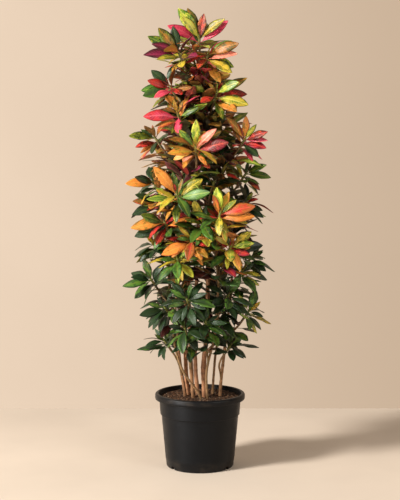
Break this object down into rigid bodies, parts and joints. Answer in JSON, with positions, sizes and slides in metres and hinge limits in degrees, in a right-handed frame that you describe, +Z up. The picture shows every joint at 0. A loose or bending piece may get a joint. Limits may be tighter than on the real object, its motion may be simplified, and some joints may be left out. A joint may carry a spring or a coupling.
{
  "type": "potted croton",
  "caption": "Tall column-shaped croton bush: variegated leaf whorls on branching woody stems, planted in potting mix in a tapered black nursery pot with a rolled rim",
  "frame": {"origin": "centre of the pot's foot, on the surface that it stands on", "axes": "+Z up along the pot's axis, the bush's show side faces -Y, +X to the right as seen from the show side"},
  "size_m": [0.5902, 0.5458, 1.7576],
  "materials": {
    "pot_plastic": "satin",
    "potting_mix": "matte",
    "bark": "matte",
    "leaves_crown": "satin",
    "leaves_middle": "satin",
    "leaves_lower": "satin"
  },
  "bodies": {
    "root": {"pot": "pot_plastic", "soil": "potting_mix", "stem_a": "bark", "stem_b": "bark", "stem_c": "bark", "stem_d": "bark", "stem_e": "bark", "stem_f": "bark", "stem_g": "bark", "stem_h": "bark", "stem_i": "bark", "stem_j": "bark", "stem_l": "bark", "leaf_whorl_01": "leaves_crown", "leaf_whorl_02": "leaves_crown", "leaf_whorl_03": "leaves_crown", "leaf_whorl_04": "leaves_crown", "leaf_whorl_05": "leaves_crown", "leaf_whorl_06": "leaves_crown", "leaf_whorl_07": "leaves_crown", "leaf_whorl_08": "leaves_crown", "leaf_whorl_09": "leaves_crown", "leaf_whorl_10": "leaves_crown", "leaf_whorl_11": "leaves_crown", "leaf_whorl_12": "leaves_crown", "leaf_whorl_13": "leaves_crown", "leaf_whorl_14": "leaves_middle", "leaf_whorl_15": "leaves_middle", "leaf_whorl_16": "leaves_middle", "leaf_whorl_17": "leaves_middle", "leaf_whorl_18": "leaves_middle", "leaf_whorl_19": "leaves_middle", "leaf_whorl_20": "leaves_middle", "leaf_whorl_21": "leaves_middle", "leaf_whorl_22": "leaves_middle", "leaf_whorl_23": "leaves_middle", "leaf_whorl_24": "leaves_middle", "leaf_whorl_25": "leaves_middle", "leaf_whorl_26": "leaves_middle", "leaf_whorl_27": "leaves_middle", "leaf_whorl_28": "leaves_middle", "leaf_whorl_29": "leaves_middle", "leaf_whorl_30": "leaves_middle", "leaf_whorl_31": "leaves_middle", "leaf_whorl_32": "leaves_middle", "leaf_whorl_33": "leaves_middle", "leaf_whorl_34": "leaves_middle", "leaf_whorl_35": "leaves_middle", "leaf_whorl_36": "leaves_lower", "leaf_whorl_37": "leaves_lower", "leaf_whorl_38": "leaves_lower", "leaf_whorl_39": "leaves_lower", "leaf_whorl_40": "leaves_lower", "leaf_whorl_41": "leaves_lower", "leaf_whorl_42": "leaves_lower", "leaf_whorl_43": "leaves_lower", "leaf_whorl_44": "leaves_lower", "leaf_whorl_45": "leaves_lower", "leaf_whorl_46": "leaves_lower"}
  },
  "joints": []
}
